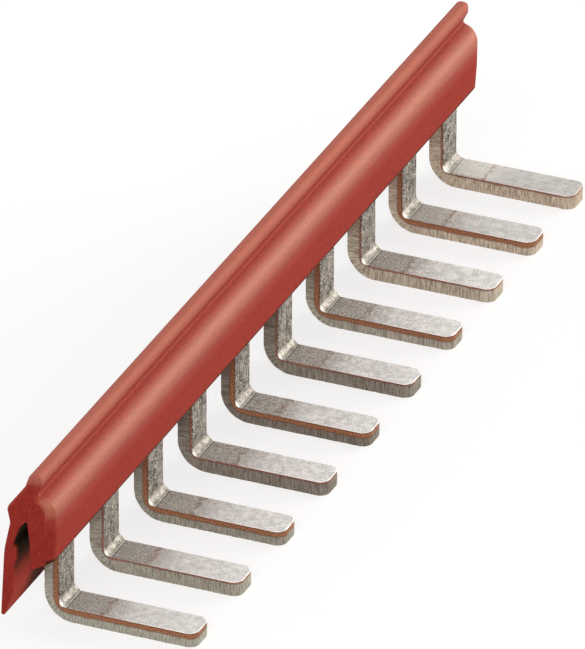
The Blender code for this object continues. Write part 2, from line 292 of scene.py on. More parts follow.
def spine_grid(depth, inset):
    """Points of the spine at one level: rows from its top edge down, columns along the row. Its
    lower edge runs over the prongs' roots and round a fillet on each side of them. It is worked
    out for one pitch and repeated, and what lies beyond the outer prongs is left off."""
    half = PRONG_WIDTH / 2 - inset
    angle = np.linspace(0.0, math.pi / 2, FILLET_STEPS + 1)
    radius = ROOT_FILLET + inset
    centre_z = COMB_HEIGHT - SPINE_WIDTH - ROOT_FILLET
    rise_y = PRONG_WIDTH / 2 + ROOT_FILLET - radius * np.sin(angle[::-1])
    rise_z = centre_z + radius * np.cos(angle[::-1])
    bay = np.linspace(PRONG_WIDTH / 2 + ROOT_FILLET, PITCH / 2, BAY_STEPS)[1:]
    side_y = np.concatenate((rise_y[1:], bay))
    side_z = np.concatenate((rise_z[1:], np.full(len(bay), rise_z[-1])))
    root_y = np.linspace(-half, half, ACROSS_STEPS + 1)
    one_y = np.concatenate((-side_y[::-1], root_y, side_y))
    one_z = np.concatenate((side_z[::-1], np.full(len(root_y), centre_z), side_z))
    y = (PRONG_CENTRES[:, None] + one_y[None, :-1]).ravel()
    z = np.tile(one_z[:-1], PRONG_COUNT)
    first = len(side_y)
    keep = slice(first, len(y) - len(side_y) + 1)
    y, z = y[keep], z[keep]
    share = np.linspace(0.0, 1.0, SPINE_STEPS + 1)[:, None]
    top = COMB_HEIGHT - inset
    rows_z = top + (z - top) * share
    rows_y = np.broadcast_to(y, rows_z.shape)
    return np.stack((np.full(rows_z.shape, -depth), rows_y, rows_z), axis=-1)


def outline(spine, prongs):
    """The blank's edge as one ring: along the top, down the far end, round each prong from far
    to near with the points of the bays between, and up the near end."""
    bay = 2 * (FILLET_STEPS + BAY_STEPS - 1) - 1
    parts = [spine[0], spine[1:-1, -1]]
    for number in range(PRONG_COUNT - 1, -1, -1):
        prong = prongs[number]
        parts += [prong[:, -1], prong[-1, -2:0:-1], prong[::-1, 0]]
        if number:
            stop = spine.shape[1] - (PRONG_COUNT - number) * (ACROSS_STEPS + bay + 1)
            parts.append(spine[-1, stop:stop + bay][::-1])
    parts.append(spine[-2:0:-1, 0])
    return np.concatenate(parts)


def comb_levels():
    """Depth and inset of each level: a quarter circle where the punch rolled the edge over,
    the cut, and the torn last stretch."""
    angle = np.linspace(0.0, math.pi / 2, ROLL_LEVELS)
    roll = np.stack((DIE_ROLL * (1 - np.cos(angle)), DIE_ROLL * (1 - np.sin(angle))), axis=1)
    cut = [(depth, 0.0) for depth in (*CUT_LEVELS, STRIP_THICKNESS)]
    return np.array(roll.tolist() + cut)


def comb(material):
    """Inner and outer broad faces, and the cut edge carried through the levels."""
    levels = comb_levels()
    grids = []
    rings = []
    for level, (depth, inset) in enumerate(levels):
        prongs = prong_grid(depth, inset)
        spine = spine_grid(depth, inset)
        rings.append(outline(spine, prongs))
        if level in (0, len(levels) - 1):
            grids += [(grid, np.full(grid.shape[:2], depth), False) for grid in [*prongs, spine]]
    rings = np.stack(rings)
    grids.append((rings, np.repeat(levels[:, :1], rings.shape[1], axis=1), True))
    first = np.cumsum([0] + [depth.size for grid, depth, close in grids])
    faces = [joined_grid(depth.shape, start, close)
             for (grid, depth, close), start in zip(grids, first)]
    places = np.concatenate([grid.reshape(-1, 3) for grid, depth, close in grids])
    depth = np.concatenate([depth.ravel() for grid, depth, close in grids])
    values = strip_values(places, depth)
    return mesh_piece("tinned_comb", places, np.concatenate(faces), [], values, material)


def strip_values(places, depth):
    """What the finish needs at each point: its distance along the strip from the fold's start,
    less than 0 up the upright and growing out along the leg, its distance from the prong's
    middle, its depth below the inner face, and the prong's number."""
    x, y, z = places.T
    radius = BEND_INSIDE + (BEND_OUTSIDE - BEND_INSIDE) * depth / STRIP_THICKNESS
    centre_x = radius - depth
    centre_z = radius + STRIP_THICKNESS - depth
    turned = np.clip(np.arctan2(centre_z - z, centre_x - x) / (math.pi / 2), 0.0, 1.0)
    above = np.maximum(z - centre_z, 0.0)
    beyond = np.maximum(x - centre_x, 0.0)
    lean = (BEND_OUTSIDE - BEND_INSIDE) / STRIP_THICKNESS - 1
    along = FOLD_LENGTH * turned - above + beyond + lean * depth * (2 * turned - 1)
    number = np.clip(np.round((y - PRONG_CENTRES[0]) / PITCH), 0, PRONG_COUNT - 1)
    across = y - PRONG_CENTRES[number.astype(int)]
    return {"strip": np.stack((along, across, depth), axis=1), "prong": number}


# Clip profile: a section of rounded corners, carried along the row and drawn in at both ends.

ARC_STEPS = 10
END_STEPS = 12
LENGTH_STEPS = 60
RIB_STEPS = 5
END_ROOM = 1.0              # length without plain rings at the far end, for its rounding
NEARLY_STRAIGHT = 0.8       # cosine of the turn, above which both edges move as one
LEAST_ROUND = 0.2           # share of a corner's radius that an end always keeps
EDGE_SHARE = 0.48           # share of an edge that one corner's arc may take
LEAST_SLOPE = 1e-6          # keeps a corner that doesn't turn from dividing by 0


def profile_corners(rib):
    """Corners of the section, clockwise seen from the near end, from the bead's back. Each has
    X, height, radius, the rounding at the profile's ends of the edge that leaves it, and how
    far it is rubbed smooth, lies in the slot, and lies inside the skirt. The last two mark where
    the finish paints shade."""
    front = SLOT_FRONT + FRONT_WALL
    groove_x = front - GROOVE_SETBACK
    bead_front = groove_x + BEAD_OVERHANG
    bead_back = bead_front - BEAD_WIDTH
    roof_front = SLOT_FRONT - SLOT_LEAN
    roof_back = roof_front - SLOT_ROOF_WIDTH
    rib_face = SLOT_BACK + RIB_HEIGHT * rib
    outer, back, inner = END_ROUND, END_ROUND_BACK, SLOT_EDGE_ROUND
    slope = math.radians(SHOULDER_SLOPE)
    turn = math.pi / 2 - slope
    meet = GROOVE_RISE - GROOVE_SETBACK * math.tan(slope)
    pull = SHOULDER_ROUND * (math.tan(turn / 2) - math.tan(turn / 4))
    upper_x, upper_rise = front - pull * math.cos(slope), meet + pull * math.sin(slope)
    between = (END_ROUND_TOP + END_ROUND_FRONT) / 2
    corners = np.array((
        (bead_back, BEAD_RISE, BEAD_ROUND, outer, 0.6, 0, 0),
        (bead_front, BEAD_RISE, BEAD_ROUND, outer, 0.5, 0, 0),
        (bead_front, BEAD_RISE - BEAD_FACE, BEAD_ROUND, outer, 0.7, 0, 0),
        (groove_x, GROOVE_RISE, GROOVE_ROUND, END_ROUND_TOP, 0.5, 0, 0),
        (upper_x, upper_rise, SHOULDER_ROUND, between, 0.95, 0, 0),
        (front, meet - pull, SHOULDER_ROUND, END_ROUND_FRONT, 0.95, 0, 0),
        (front - WALL_KNEE_STEP, WALL_KNEE_RISE, WALL_KNEE_ROUND, END_ROUND_FRONT, 0, 0, 0),
        (SLOT_FRONT + FRONT_FOOT, -FOOT_DROP, FOOT_ROUND, inner, 0, 0, 0),
        (SLOT_FRONT, -FOOT_DROP - FOOT_BEVEL, FOOT_TIP_ROUND, inner, 0, 0, 0),
        (SLOT_FRONT, SLOT_SHOULDER, SHARP, inner, 0, 1, 0),
        (roof_front, SLOT_RISE, SLOT_ROOF_ROUND, inner, 0, 1, 0),
        (roof_back, SLOT_RISE - SLOT_ROOF_WIDTH, SLOT_STEP_ROUND, inner, 0, 1, 0),
        (SLOT_BACK, SLOT_SHOULDER, SHARP, inner, 0, 1, 0),
        (SLOT_BACK, RIB_RAMP - RIB_DROP, SHARP, inner, 0, 1, 0),
        (rib_face, -RIB_DROP, SHARP, inner, 0, 1, 0),
        (rib_face, -RIB_DROP - RIB_WIDTH, SHARP, inner, 0, 0.9, 0),
        (SLOT_BACK, -RIB_DROP - 2 * RIB_WIDTH, SHARP, inner, 0, 0.6, 0.4),
        (SLOT_BACK, SKIRT_BEVEL - SKIRT_DROP, SKIRT_BEVEL_ROUND, inner, 0, 0, 1),
        (PART_BACK + SKIRT_EDGE, -SKIRT_DROP, SKIRT_EDGE_ROUND, inner, 0, 0, 0.8),
        (PART_BACK, -SKIRT_DROP, SKIRT_EDGE_ROUND, back, 0, 0, 0),
        (SLOT_BACK - BACK_KNEE_WALL, -BACK_KNEE_DROP, BACK_KNEE_ROUND, back, 0, 0, 0),
        (SLOT_BACK - BACK_WAIST_WALL, BACK_WAIST_RISE, BACK_ROUND, back, 0.2, 0, 0),
        (SLOT_BACK - BACK_SHOULDER_WALL, BACK_SHOULDER_RISE, BACK_ROUND, back, 0.6, 0, 0),
        (bead_back - BEAD_BACK_LEAN, BEAD_RISE - BEAD_BACK_HEIGHT, BEAD_BACK_ROUND, outer, 0.6, 0, 0),
    ))
    corners[:, 1] += COMB_HEIGHT
    return corners


def cross(a, b):
    """Cross product of vectors in the plane, above 0 where b is turned to the left of a."""
    return a[..., 0] * b[..., 1] - a[..., 1] * b[..., 0]


def section_ring(share, rib):
    """Points round the section, and at each the end rounding and the finish columns, for one
    share of the end rounding. Every edge first moves into the material by its end rounding
    times the share, and takes its corners with it: to where the moved edges cross, or straight
    in where they hardly turn. Then every corner becomes an arc, as wide as asked or as its
    edges have room for."""
    corners = profile_corners(rib)
    place = corners[:, :2]
    radius = corners[:, 2]
    leaves = corners[:, 3]
    arrives = np.roll(leaves, 1)
    ahead = np.roll(place, -1, axis=0) - place
    ahead /= np.linalg.norm(ahead, axis=1, keepdims=True)
    behind = np.roll(ahead, 1, axis=0)
    turn = cross(behind, ahead)
    along = np.sum(behind * ahead, axis=1)
    as_one = along > NEARLY_STRAIGHT
    step_a, step_b = arrives * share, leaves * share
    mean = ((step_a + step_b) / 2 / (1 + along))[:, None]
    straight = np.stack((behind[:, 1] + ahead[:, 1], -behind[:, 0] - ahead[:, 0]), axis=1) * mean
    sharp_turn = np.where(as_one, 1.0, turn)
    corner = (behind * step_b[:, None] - ahead * step_a[:, None]) / sharp_turn[:, None]
    place = place + np.where(as_one[:, None], straight, corner)
    tighter = radius + np.sign(turn) * np.minimum(step_a, step_b)
    wide = radius > np.maximum(arrives, leaves) / 2
    most = np.maximum(arrives, leaves)
    start_ends = np.where(wide, arrives, most)
    stop_ends = np.where(wide, leaves, most)
    radius = np.maximum(tighter, radius * LEAST_ROUND)
    points, ends = arcs(place, radius, start_ends, stop_ends)
    return points, ends, np.repeat(corners[:, 4:], ARC_STEPS + 1, axis=0)


def arcs(place, radius, start_ends, stop_ends):
    """Each corner as an arc of the wanted radius, or of the widest that its edges have room
    for, and a value blended from its start to its stop."""
    ahead = np.roll(place, -1, axis=0) - place
    length = np.linalg.norm(ahead, axis=1)
    ahead /= length[:, None]
    behind = np.roll(ahead, 1, axis=0)
    turn = np.arctan2(cross(behind, ahead), np.sum(behind * ahead, axis=1))
    room = EDGE_SHARE * np.minimum(length, np.roll(length, 1))
    slope = np.maximum(np.tan(np.abs(turn) / 2), LEAST_SLOPE)
    reach = np.minimum(radius * slope, room)
    radius = reach / slope
    inward = np.stack((-behind[:, 1], behind[:, 0]), axis=1) * np.sign(turn)[:, None]
    begin = place - behind * reach[:, None]
    centre = begin + inward * radius[:, None]
    first = np.arctan2(*(begin - centre).T[::-1])
    share = np.linspace(0.0, 1.0, ARC_STEPS + 1)
    angle = first[:, None] + turn[:, None] * share
    circle = np.stack((np.cos(angle), np.sin(angle)), axis=-1)
    points = centre[:, None] + radius[:, None, None] * circle
    ends = start_ends[:, None] + (stop_ends - start_ends)[:, None] * share
    return points.reshape(-1, 2), ends.ravel()


def clip_profile(material):
    """The section's rings joined along the row. Each ring has its share of the end rounding,
    the rib's share of its height, its place along the row, and how far each point is drawn in
    along the row, as a share of the point's own end rounding. So at both ends each point
    follows a quarter circle whose radius is its own. The caps take no finish."""
    rib_end = COMB_START - SLOT_CLEARANCE
    angles = np.linspace(0.0, math.pi / 2, END_STEPS + 1)
    plain = np.linspace(rib_end, ROW_END - END_ROOM, LENGTH_STEPS)[1:]
    near = NEAR_END_SHARE
    rings = [(near * CAP_INSET, 1.0, -ROW_END, 0.0)]
    rings += [(near * (1 - math.sin(a)), 1.0, -ROW_END, near * (1 - math.cos(a))) for a in angles]
    for lowered in np.linspace(0.0, 1.0, RIB_STEPS):
        rings.append((0.0, 1.0 - lowered, rib_end - RIB_LEAD * (1 - lowered), 0.0))
    rings += [(0.0, 0.0, y, 0.0) for y in plain]
    rings += [(1 - math.sin(a), 0.0, ROW_END, math.cos(a) - 1) for a in angles[::-1]]
    rings.append((CAP_INSET, 0.0, ROW_END, 0.0))
    grid = []
    finish = []
    for share, rib, y, inward in rings:
        points, ends, columns = section_ring(share, rib)
        grid.append(np.stack((points[:, 0], y + inward * ends, points[:, 1]), axis=1))
        finish.append(columns)
    finish[0] = finish[-1] = np.zeros(finish[0].shape)
    grid = np.stack(grid)
    faces = joined_grid(grid.shape[:2], 0, True)
    around = grid.shape[1]
    last = grid.shape[0] * around
    caps = [list(range(around)), list(range(last - around, last))]
    values = {"section": np.concatenate(finish)}
    return mesh_piece("moulded_clip_profile", grid.reshape(-1, 3), faces, caps, values, material)


# Finishes. Shares and thresholds of noise go from 0 to 1. Noise on the metal counts waves to a
# millimetre of the strip, and noise on the plastic waves to a metre.

RED = ("982827", "A22A29")              # the polyamide, from cloud to cloud
RED_SPECKS = ("7A1820", "C2401F")       # dark and bright
# painted highlight on the bead's top
BEAD_HIGHLIGHT_RED = "BE6C5C"
# painted highlight on the shoulder and at its near end
HIGHLIGHT_RED = "CC8068"
# painted shade along the foot
FOOT_SHADE = "30100C"
# painted shade, near black, in the slot and inside the skirt behind the first prong
SLOT_SHADE = "160504"
POLYAMIDE_IOR = 1.53
WARM_GLANCE = (1.0, 0.8, 0.42, 1.0)     # tint of what the plastic mirrors
MATT = 1.0
SATIN = 0.5

CLOUDS = 260.0
SPECKS = 5200.0
SKIN = 7000.0               # of the moulded surface's fine relief

# Where the painted shade in the slot and the painted shadow inside the skirt lie
SLOT_DARKENS = 0.4          # mm in from the near end
SHADE_BEFORE_COMB = 0.4     # mm from prong 1 to the darkest place inside the skirt
SHADE_REACH = 2.2
SHOULDER_HIGHLIGHT_RISE = 0.2              # from the middle of the shoulder's round to the middle of the painted highlight
SHOULDER_HIGHLIGHT_REACH = 0.5
FOOT_SHADE_RISE = (0.2, 0.06)    # above the foot, where the painted line of shade starts and is full
FOOT_SHADE_BEHIND = (0.5, 0.3)   # behind the foot's face, the same
# Painted highlight in a soft spot at the near end of the shoulder
END_HIGHLIGHT_DEPTH = (0.55, 0.1)        # mm in from the near end
END_HIGHLIGHT_OUTWARD = (0.45, 1.05)     # mm from the middle of the shoulder's round
END_HIGHLIGHT_BESIDE = (0.1, 0.95)       # the spot's middle and half width, round the shoulder
BEAD_HIGHLIGHT_BELOW = (0.75, 0.25)   # below the bead's top, where the painted highlight starts and is full

UPRIGHT_TIN = ("2F2B28", "A79E95")      # dark and light crystals
LEG_TIN = ("857F78", "CDC9C3")
LAST_LEG_TIN = "E6E2DC"
TIN_GRAIN = "EDEAE5"
PRESSED_TIN = ("C6C6C3", "ECECEA")
LAST_PRESSED_TIN = ("ACA9A5", "CCC9C5")
FOLD_TIN = ("827C74", "E0DCD4")
MARK_BROWN = "946C60"
MARK_PALE = "E4E1DC"
# painted highlight on the creases, and painted shade beyond the second
CREASE_HIGHLIGHT_TIN = "E4E4E0"
CREASE_SHADE = "5E5954"
# painted highlight at the fold's near corner and along the legs' near edges
EDGE_HIGHLIGHT_TIN = "F4F2EF"
SCRATCH_TIN = "EFEDEA"
WIDE_COPPER = ("5C3322", "BE8664")      # dark and light grains
THIN_COPPER = ("86493B", "D09580")
PLAIN_CUT = ("827D70", "BDB9AA")
BROWN_CUT = ("6E5E52", "ACA090")
DULL_CUT = ("54463E", "82746A")
CLEAR_CUT = ("937F6C", "D9C8B4")
COPPER_UNDERLINE = "4E2C20"
COPPER_RIM = "4C2C22"

COARSE = 2.2
FINE = 13.0
GRAINS = 8.0
MARK_PATCHES = 4.5
SCRATCH_STRETCH = (0.35, 16.0, 1.0)     # waves to a millimetre along and across the strip
CUT_STREAKS = 13.0
CUT_PATCHES = 1.1
CUT_GRAINS = 15.0
PRONG_SHIFT = 7.3           # how far apart in the noise two neighbouring prongs lie

LEG_STARTS = (0.9, 1.4)     # along the strip
PRESSED_STARTS = (3.3, 5.6)
MARK_REACH = 0.24
MARK_DRIFT = 0.9            # how far the coarse noise moves the mark along the leg
PALE_BEYOND_MARK = 0.3
PALE_REACH = 0.16
FOLD_REACH = 0.75           # the fold's tone, from the fold's middle
SHADE_BEYOND_CREASE = 0.13
CREASE_SHADE_REACH = 0.08
# Where the painted highlight lies at the fold's near corner and on the legs' near edges
CORNER_GLINT_ACROSS = (-0.85, -1.0)       # across the prong, at the near edge of the fold
EDGE_GLINT_ACROSS = (-0.94, -1.02)        # and of the leg
EDGE_GLINT_ALONG = (2.5, 7.0)         # along the strip
LAST_PRONGS = (6.9, 9.1)    # counted from 0: where their tone starts to change and where it has
DULL_PRONGS = (3.9, 3.4)    # the dullest and the reach to both sides
CLEAR_PRONGS = (5.2, 8.2)
CUT_STARTS = (0.02, 0.05)   # depth below the inner face
CUT_STOPS = (0.002, 0.012)  # and above the outer one
BAND_DEPTH = (0.33, 0.1)    # of the copper, on the wide and the narrow ones
BAND_FADE = (0.1, -0.05)    # from the band's foot: where the copper has gone and where it is full
UNDERLINE = (0.03, 0.07)    # its middle below the band's foot, and its reach
RIM_REACH = 0.035


def linear(code):
    """A hex colour as linear values."""
    values = [int(code[i:i + 2], 16) / 255 for i in (0, 2, 4)]
    return tuple(v / 12.92 if v <= 0.04045 else ((v + 0.055) / 1.055) ** 2.4 for v in values) + (1.0,)


def add(tree, kind, inputs=None, **settings):
    """One node with its settings, and its inputs from values or from other nodes' outputs."""
    made = tree.nodes.new(kind)
    for key, value in settings.items():
        setattr(made, key, value)
    for key, value in (inputs or {}).items():
        if isinstance(value, bpy.types.NodeSocket):
            tree.links.new(value, made.inputs[key])
        else:
            made.inputs[key].default_value = value
    return made


def new_material(name):
    """A material with an output node only, its node tree, and that output."""
    material = bpy.data.materials.new(name)
    material.use_nodes = True
    tree = material.node_tree
    tree.nodes.clear()
    output = tree.nodes.new("ShaderNodeOutputMaterial")
    return material, tree, output


def maths(tree, operation, first, second=0.0):
    """One step of arithmetic. The helpers below name the common ones."""
    return add(tree, "ShaderNodeMath", {0: first, 1: second}, operation=operation).outputs[0]


def plus(tree, first, second):
    return maths(tree, "ADD", first, second)


def minus(tree, first, second):
    return maths(tree, "SUBTRACT", first, second)


def times(tree, product, *factors):
    for factor in factors:
        product = maths(tree, "MULTIPLY", product, factor)
    return product


def larger(tree, first, second):
    return maths(tree, "MAXIMUM", first, second)


def mix(tree, share, first, second):
    """One number into another."""
    return add(tree, "ShaderNodeMix", {0: share, 2: first, 3: second}).outputs[0]


def blend(tree, share, first, second):
    """One colour into another. Colours are hex codes or outputs of nodes."""
    first, second = (linear(c) if isinstance(c, str) else c for c in (first, second))
    return add(tree, "ShaderNodeMix", {0: share, 6: first, 7: second}, data_type="RGBA").outputs[2]


def split(tree, vector):
    """The three parts of a vector."""
    return add(tree, "ShaderNodeSeparateXYZ", {0: vector}).outputs


def join(tree, x, y, z):
    """Three numbers as one vector."""
    return add(tree, "ShaderNodeCombineXYZ", {0: x, 1: y, 2: z}).outputs[0]


def ramp(tree, value, start, stop):
    """0 before start and 1 after stop, or the other way round where stop lies first."""
    low, high = min(start, stop), max(start, stop)
    ends = (0.0, 1.0) if start < stop else (1.0, 0.0)
    made = add(tree, "ShaderNodeMapRange", {0: value, 1: low, 2: high, 3: ends[0], 4: ends[1]},
               interpolation_type="SMOOTHSTEP")
    return made.outputs[0]


def ridge(tree, value, centre, reach):
    """1 at the centre, falling to 0 at the reach on both sides."""
    off = maths(tree, "ABSOLUTE", minus(tree, value, centre))
    return ramp(tree, off, reach, 0.0)


def noise(tree, vector, scale, detail=2.0, roughness=0.5):
    """Soft noise around one half, with finer noise on it where the detail is higher."""
    made = add(tree, "ShaderNodeTexNoise", {"Vector": vector, "Scale": scale, "Detail": detail,
                                            "Roughness": roughness})
    return made.outputs[0]


def red_moulded_plastic():
    """Polyamide moulded in red. The walls keep the mould's matt surface, with fine specks in the
    colour. Handling has rubbed the shoulder and the bead to a satin that draws soft streaks of
    light. On top of that, paler red is painted as highlight on the bead's top, along the shoulder
    and at the shoulder's near end. Near-black painted shade fills the slot near the near end and
    the skirt's inside behind the first prong, and a dark line of painted shade runs along the foot."""
    material, tree, output = new_material("red_moulded_polyamide")
    where = add(tree, "ShaderNodeTexCoord").outputs["Object"]
    y = split(tree, where)[1]
    section = add(tree, "ShaderNodeAttribute", attribute_name="section").outputs["Vector"]
    rubbed, slot, skirt = split(tree, section)
    cloud = noise(tree, where, CLOUDS, 3.0)
    speck = noise(tree, where, SPECKS, 2.0, 0.6)
    tone = blend(tree, cloud, *RED)
    tone = blend(tree, times(tree, ramp(tree, speck, 0.52, 0.7), 0.45), tone, RED_SPECKS[1])
    tone = blend(tree, times(tree, ramp(tree, speck, 0.48, 0.3), 0.45), tone, RED_SPECKS[0])
    # Painted shade: the slot turns near black from the near end inward, and so does the skirt's
    # inside just behind the first prong
    deep = times(tree, slot, ramp(tree, y, -ROW_END * MM, (SLOT_DARKENS - ROW_END) * MM))
    shade_y = COMB_START - SHADE_BEFORE_COMB
    shaded = times(tree, skirt, ridge(tree, y, shade_y * MM, SHADE_REACH * MM))
    dark = larger(tree, deep, shaded)
    # Painted highlight: paler red over the bead's top
    tone = blend(tree, painted_bead_highlight(tree, where, cloud, speck), tone, BEAD_HIGHLIGHT_RED)
    # Painted highlight: a paler band along the shoulder's round
    tone = blend(tree, painted_shoulder_highlight(tree, where, rubbed, speck), tone, HIGHLIGHT_RED)
    # Painted shade: a dark line along the foot
    tone = blend(tree, painted_foot_shade(tree, where), tone, FOOT_SHADE)
    tone = blend(tree, dark, tone, SLOT_SHADE)
    # Painted highlight: a pale spot where the shoulder meets the near end
    tone = blend(tree, painted_end_highlight(tree, where), tone, HIGHLIGHT_RED)
    height = plus(tree, noise(tree, where, SKIN), times(tree, cloud, 1.5))
    bump = add(tree, "ShaderNodeBump", {"Height": height, "Strength": 0.25, "Distance": 0.02 * MM})
    satin = times(tree, rubbed, minus(tree, 1.0, dark))
    shader = add(tree, "ShaderNodeBsdfPrincipled", {
        "Base Color": tone,
        "Roughness": mix(tree, satin, MATT, SATIN),
        "IOR": POLYAMIDE_IOR,
        "Specular Tint": WARM_GLANCE,
        "Normal": bump.outputs[0],
    })
    tree.links.new(shader.outputs[0], output.inputs[0])
    return material


def painted_bead_highlight(tree, where, cloud, speck):
    """A painted highlight on the bead's top: paler red with a mottle in it, fading in from below."""
    z = split(tree, where)[2]
    start, full = ((COMB_HEIGHT + BEAD_RISE - below) * MM for below in BEAD_HIGHLIGHT_BELOW)
    mottle = plus(tree, times(tree, cloud, 0.4), times(tree, speck, 0.6))
    return times(tree, ramp(tree, z, start, full), plus(tree, 0.25, times(tree, mottle, 0.9)))


def painted_shoulder_highlight(tree, where, rubbed, speck):
    """A painted highlight, a little paler and specked, over the lower half of the shoulder's
    round, where it is rubbed to satin."""
    z = split(tree, where)[2]
    band = ridge(tree, z, (COMB_HEIGHT + SHOULDER_MIDDLE + SHOULDER_HIGHLIGHT_RISE) * MM, SHOULDER_HIGHLIGHT_REACH * MM)
    return times(tree, band, plus(tree, 0.16, times(tree, speck, 0.26)), rubbed)


def painted_foot_shade(tree, where):
    """A thin dark line of painted shade along the outer edge of the foot."""
    place = split(tree, where)
    behind = [(SLOT_FRONT + FRONT_FOOT - DATUM_X - depth) * MM for depth in FOOT_SHADE_BEHIND]
    above = [(COMB_HEIGHT - FOOT_DROP + rise) * MM for rise in FOOT_SHADE_RISE]
    return times(tree, ramp(tree, place[2], *above), ramp(tree, place[0], *behind), 0.9)


def painted_end_highlight(tree, where):
    """A painted highlight in a soft pale spot at the near end, where the shoulder runs out:
    strongest far out from the middle of the shoulder's round, and nothing away from the end."""
    x, y, z = split(tree, where)
    off_x = minus(tree, x, (SLOT_FRONT + FRONT_WALL - SHOULDER_ROUND - DATUM_X) * MM)
    off_z = minus(tree, z, (COMB_HEIGHT + SHOULDER_MIDDLE) * MM)
    turn = math.radians(END_HIGHLIGHT_TURN)
    level, upright = math.cos(turn) / MM, math.sin(turn) / MM
    outward = plus(tree, times(tree, off_x, level), times(tree, off_z, upright))
    beside = minus(tree, times(tree, off_z, level), times(tree, off_x, upright))
    near = ramp(tree, y, *((depth - ROW_END) * MM for depth in END_HIGHLIGHT_DEPTH))
    spot = times(tree, ramp(tree, outward, *END_HIGHLIGHT_OUTWARD), ridge(tree, beside, *END_HIGHLIGHT_BESIDE))
    return times(tree, spot, near, 0.65)


def tinned_copper():
    """Copper strip with a dull electroplated tin coat, as it comes from the press. The punched
    edges show bare copper next to the inner face and, below it, tin dragged down in streaks."""
    material, tree, output = new_material("dull_tin_plate_on_copper")
    strip = add(tree, "ShaderNodeAttribute", attribute_name="strip").outputs["Vector"]
    along, across, depth = split(tree, strip)
    number = add(tree, "ShaderNodeAttribute", attribute_name="prong").outputs["Fac"]
    shift = times(tree, number, PRONG_SHIFT)
    plan = join(tree, along, across, shift)
    tin, tin_height, tin_gloss = tin_face(tree, plan, along, across, number)
    edge, edge_height = cut_edge(tree, along, across, depth, number, shift)
    stops = (STRIP_THICKNESS - above for above in CUT_STOPS)
    cut = times(tree, ramp(tree, depth, *CUT_STARTS), ramp(tree, depth, *stops))
    height = mix(tree, cut, tin_height, edge_height)
    bump = add(tree, "ShaderNodeBump", {"Height": height, "Strength": 1.0, "Distance": 0.03 * MM})
    shader = add(tree, "ShaderNodeBsdfPrincipled", {
        "Base Color": blend(tree, cut, tin, edge),
        "Metallic": 1.0,
        "Roughness": mix(tree, cut, tin_gloss, 0.55),
        "Normal": bump.outputs[0],
    })
    tree.links.new(shader.outputs[0], output.inputs[0])
    return material


def tin_face(tree, plan, along, across, number):
    """Broad faces: a crystalline grey mottle with bright grains on the upright, finer and
    lighter on the first stretch of the leg. Past the patchy brown mark of the forming tool the
    same coat is pressed smooth, with faint scratches along it. Two creases cross the inside
    of the fold, each with a painted highlight along it, and a line of painted shade lies beyond
    the second. The far prongs' legs are lighter on their first stretch and darker on the
    pressed one. A painted highlight runs along the near edges of the legs, where the punch
    rolled them, and at the near corner of the fold."""
    coarse = noise(tree, plan, COARSE, 3.0, 0.6)
    fine = noise(tree, plan, FINE, 3.0, 0.7)
    grains = ramp(tree, noise(tree, plan, GRAINS, 1.0), 0.58, 0.68)
    mottle = plus(tree, times(tree, coarse, 0.38), times(tree, fine, 0.62))
    crystals = ramp(tree, mottle, 0.4, 0.6)
    last = ramp(tree, number, *LAST_PRONGS)
    leg = blend(tree, ramp(tree, fine, 0.36, 0.6), *LEG_TIN)
    leg = blend(tree, times(tree, last, 0.4), leg, LAST_LEG_TIN)
    grey = blend(tree, ramp(tree, along, *LEG_STARTS), blend(tree, crystals, *UPRIGHT_TIN), leg)
    grey = blend(tree, times(tree, grains, 0.5), grey, TIN_GRAIN)
    dark, light = (blend(tree, last, *pair) for pair in zip(PRESSED_TIN, LAST_PRESSED_TIN))
    pressed = ramp(tree, plus(tree, along, times(tree, coarse, 0.8)), *PRESSED_STARTS)
    tone = blend(tree, pressed, grey, blend(tree, crystals, dark, light))
    tone = forming_mark(tree, tone, plan, along, coarse, fine)
    fold = ridge(tree, along, FOLD_LENGTH / 2, FOLD_REACH)
    tone = blend(tree, times(tree, fold, 0.8), tone, blend(tree, crystals, *FOLD_TIN))
    # Painted highlight along both creases
    crease = larger(tree, *(ridge(tree, along, place, CREASE_WIDTH) for place in CREASES))
    tone = blend(tree, times(tree, crease, 0.35), tone, CREASE_HIGHLIGHT_TIN)
    # Painted highlight at the near corner of the fold and along the near edges of the legs
    corner = times(tree, fold, ramp(tree, across, *CORNER_GLINT_ACROSS))
    rolled = times(tree, ramp(tree, across, *EDGE_GLINT_ACROSS), ramp(tree, along, *EDGE_GLINT_ALONG))
    bright = larger(tree, corner, times(tree, rolled, 0.8))
    tone = blend(tree, times(tree, bright, 0.7), tone, EDGE_HIGHLIGHT_TIN)
    # Painted shade beyond the second crease
    shade = ridge(tree, along, CREASES[1] + SHADE_BEYOND_CREASE, CREASE_SHADE_REACH)
    tone = blend(tree, times(tree, shade, 0.5), tone, CREASE_SHADE)
    lines = add(tree, "ShaderNodeVectorMath", {0: plan, 1: SCRATCH_STRETCH}, operation="MULTIPLY")
    scratch = ramp(tree, noise(tree, lines.outputs[0], 1.0, 1.0), 0.62, 0.7)
    tone = blend(tree, times(tree, scratch, 0.35), tone, SCRATCH_TIN)
    height = plus(tree, times(tree, fine, 0.35), times(tree, crease, 0.6))
    height = minus(tree, height, times(tree, shade, 0.4))
    gloss = mix(tree, fold, mix(tree, pressed, 0.7, 0.68), 0.75)
    return tone, height, gloss


def forming_mark(tree, tone, plan, along, coarse, fine):
    """Where the forming tool held the leg: a patchy brown line that wanders a little, and a
    rubbed pale one just beyond it."""
    drift = plus(tree, along, times(tree, minus(tree, coarse, 0.5), MARK_DRIFT))
    patch = ramp(tree, noise(tree, plan, MARK_PATCHES), 0.4, 0.58)
    brown = times(tree, ridge(tree, drift, MARK_ALONG, MARK_REACH), patch)
    tone = blend(tree, times(tree, brown, 0.7), tone, MARK_BROWN)
    beyond = ridge(tree, drift, MARK_ALONG + PALE_BEYOND_MARK, PALE_REACH)
    pale = times(tree, beyond, ramp(tree, fine, 0.42, 0.6))
    return blend(tree, times(tree, pale, 0.5), tone, MARK_PALE)


